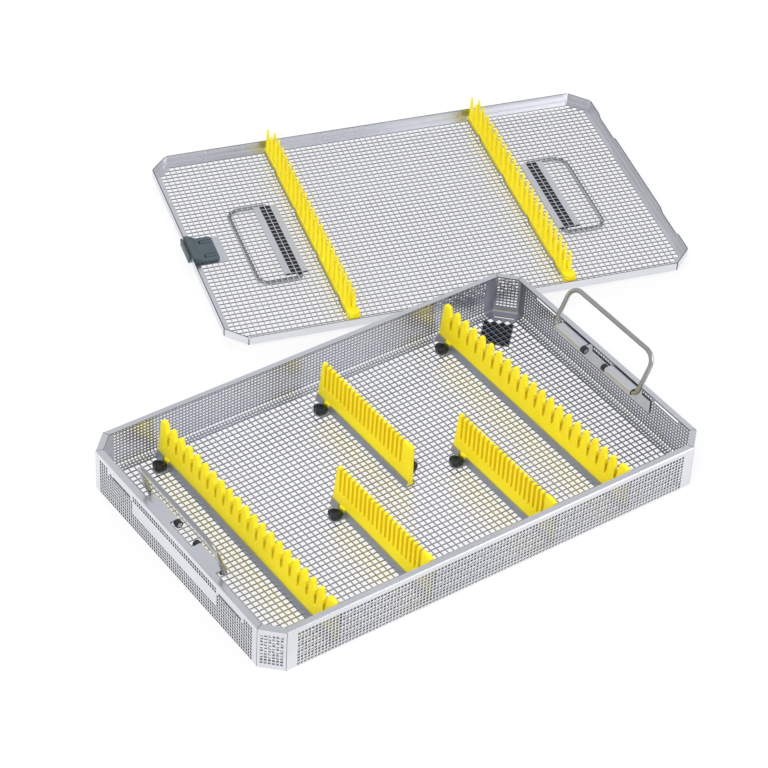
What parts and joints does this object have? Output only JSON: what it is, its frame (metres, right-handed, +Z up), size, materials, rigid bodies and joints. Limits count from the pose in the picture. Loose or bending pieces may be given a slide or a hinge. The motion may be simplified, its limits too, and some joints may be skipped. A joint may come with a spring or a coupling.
{
  "type": "instrument storage tray",
  "caption": "Perforated steel instrument tray with wire bail handles, yellow finger combs on knob-locked rails, and its lid lying upside down behind it with yellow pin combs and a latch.",
  "frame": {"origin": "centre of the underside of the tray floor, where it stands on a table", "axes": "x along the long walls, y towards the back wall where the lid lies, z up"},
  "size_m": [0.6357, 0.5659, 0.0734],
  "materials": {
    "satin_steel": "satin",
    "polished_wire": "polished",
    "rail_grey": "matte",
    "yellow_silicone": "matte",
    "black_plastic": "matte",
    "black_silicone": "matte",
    "slate_plastic": "matte"
  },
  "bodies": {
    "tray": {"tray_floor": "satin_steel", "long_wall_front": "satin_steel", "long_wall_back": "satin_steel", "end_wall_left": "satin_steel", "end_wall_right": "satin_steel", "corner_panel_front_left": "satin_steel", "corner_panel_front_right": "satin_steel", "corner_panel_back_left": "satin_steel", "corner_panel_back_right": "satin_steel", "handle_bracket_left": "satin_steel", "handle_bracket_right": "satin_steel", "handle_bush_left_a": "black_plastic", "handle_bush_left_b": "black_plastic", "handle_bush_right_a": "black_plastic", "handle_bush_right_b": "black_plastic", "corner_pad": "black_silicone"},
    "left_handle": {"tray_handle_left": "polished_wire"},
    "right_handle": {"tray_handle_right": "polished_wire"},
    "long_left_rail": {"comb_rail_long_left": "rail_grey", "finger_comb_long_left": "yellow_silicone"},
    "long_left_back_knob": {"rail_knob_long_left_back": "black_plastic"},
    "long_left_front_knob": {"rail_knob_long_left_front": "black_plastic"},
    "front_left_rail": {"comb_rail_front_left": "rail_grey", "finger_comb_front_left": "yellow_silicone"},
    "front_left_back_knob": {"rail_knob_front_left_back": "black_plastic"},
    "front_left_front_knob": {"rail_knob_front_left_front": "black_plastic"},
    "rear_middle_rail": {"comb_rail_rear_middle": "rail_grey", "finger_comb_rear_middle": "yellow_silicone"},
    "rear_middle_back_knob": {"rail_knob_rear_middle_back": "black_plastic"},
    "rear_middle_front_knob": {"rail_knob_rear_middle_front": "black_plastic"},
    "front_right_rail": {"comb_rail_front_right": "rail_grey", "finger_comb_front_right": "yellow_silicone"},
    "front_right_back_knob": {"rail_knob_front_right_back": "black_plastic"},
    "front_right_front_knob": {"rail_knob_front_right_front": "black_plastic"},
    "long_right_rail": {"comb_rail_long_right": "rail_grey", "finger_comb_long_right": "yellow_silicone"},
    "long_right_back_knob": {"rail_knob_long_right_back": "black_plastic"},
    "long_right_front_knob": {"rail_knob_long_right_front": "black_plastic"},
    "lid": {"lid_sheet": "satin_steel", "lid_handle_bracket_left": "satin_steel", "lid_handle_bracket_right": "satin_steel", "lid_pin_comb_left": "yellow_silicone", "lid_pin_comb_right": "yellow_silicone", "lid_comb_clip_left": "polished_wire", "lid_comb_clip_right": "polished_wire", "latch_body": "slate_plastic"},
    "lid_left_handle": {"lid_handle_left": "polished_wire"},
    "lid_right_handle": {"lid_handle_right": "polished_wire"},
    "latch": {"latch_slider": "slate_plastic"}
  },
  "joints": [
    {"name": "left_handle_swing", "type": "hinge", "parent": "tray", "child": "left_handle", "pos_m": [-0.1907, 0, 0.0367], "axis": [0, 1, 0], "range_deg": [-7, 108]},
    {"name": "right_handle_swing", "type": "hinge", "parent": "tray", "child": "right_handle", "pos_m": [0.1907, 0, 0.0367], "axis": [0, -1, 0], "range_deg": [0, 115]},
    {"name": "long_left_rail_lift", "type": "slide", "parent": "tray", "child": "long_left_rail", "axis": [0, 0, 1], "range_m": [0, 0.05]},
    {"name": "long_left_back_knob_turn", "type": "hinge", "parent": "long_left_rail", "child": "long_left_back_knob", "pos_m": [-0.1508, 0.1053, 0.0024], "axis": [0, 0, 1], "range_deg": [0, 90]},
    {"name": "long_left_front_knob_turn", "type": "hinge", "parent": "long_left_rail", "child": "long_left_front_knob", "pos_m": [-0.1292, -0.1053, 0.0024], "axis": [0, 0, 1], "range_deg": [0, 90]},
    {"name": "front_left_rail_lift", "type": "slide", "parent": "tray", "child": "front_left_rail", "axis": [0, 0, 1], "range_m": [0, 0.05]},
    {"name": "front_left_back_knob_turn", "type": "hinge", "parent": "front_left_rail", "child": "front_left_back_knob", "pos_m": [-0.0666, -0.0124, 0.0024], "axis": [0, 0, 1], "range_deg": [0, 90]},
    {"name": "front_left_front_knob_turn", "type": "hinge", "parent": "front_left_rail", "child": "front_left_front_knob", "pos_m": [-0.045, -0.1053, 0.0024], "axis": [0, 0, 1], "range_deg": [0, 90]},
    {"name": "rear_middle_rail_lift", "type": "slide", "parent": "tray", "child": "rear_middle_rail", "axis": [0, 0, 1], "range_m": [0, 0.05]},
    {"name": "rear_middle_back_knob_turn", "type": "hinge", "parent": "rear_middle_rail", "child": "rear_middle_back_knob", "pos_m": [-0.0078, 0.0949, 0.0024], "axis": [0, 0, 1], "range_deg": [0, 90]},
    {"name": "rear_middle_front_knob_turn", "type": "hinge", "parent": "rear_middle_rail", "child": "rear_middle_front_knob", "pos_m": [0.0138, 0.002, 0.0024], "axis": [0, 0, 1], "range_deg": [0, 90]},
    {"name": "front_right_rail_lift", "type": "slide", "parent": "tray", "child": "front_right_rail", "axis": [0, 0, 1], "range_m": [0, 0.05]},
    {"name": "front_right_back_knob_turn", "type": "hinge", "parent": "front_right_rail", "child": "front_right_back_knob", "pos_m": [0.0475, -0.0124, 0.0024], "axis": [0, 0, 1], "range_deg": [0, 90]},
    {"name": "front_right_front_knob_turn", "type": "hinge", "parent": "front_right_rail", "child": "front_right_front_knob", "pos_m": [0.0691, -0.1053, 0.0024], "axis": [0, 0, 1], "range_deg": [0, 90]},
    {"name": "long_right_rail_lift", "type": "slide", "parent": "tray", "child": "long_right_rail", "axis": [0, 0, 1], "range_m": [0, 0.05]},
    {"name": "long_right_back_knob_turn", "type": "hinge", "parent": "long_right_rail", "child": "long_right_back_knob", "pos_m": [0.1184, 0.1053, 0.0024], "axis": [0, 0, 1], "range_deg": [0, 90]},
    {"name": "long_right_front_knob_turn", "type": "hinge", "parent": "long_right_rail", "child": "long_right_front_knob", "pos_m": [0.14, -0.1053, 0.0024], "axis": [0, 0, 1], "range_deg": [0, 90]},
    {"name": "lid_lift", "type": "slide", "parent": "tray", "child": "lid", "axis": [0, 0, 1], "range_m": [0, 0.1]},
    {"name": "lid_right_handle_swing", "type": "hinge", "parent": "lid", "child": "lid_right_handle", "pos_m": [0.31764, 0.2262, 0.0029], "axis": [0.2857, 0.9583, 0], "range_deg": [0, 90]},
    {"name": "lid_left_handle_swing", "type": "hinge", "parent": "lid", "child": "lid_left_handle", "pos_m": [0.08956, 0.2942, 0.0029], "axis": [-0.2857, -0.9583, 0], "range_deg": [0, 90]},
    {"name": "latch_slide", "type": "slide", "parent": "lid", "child": "latch", "axis": [-0.9583, 0.2857, 0], "range_m": [0, 0.003]}
  ]
}
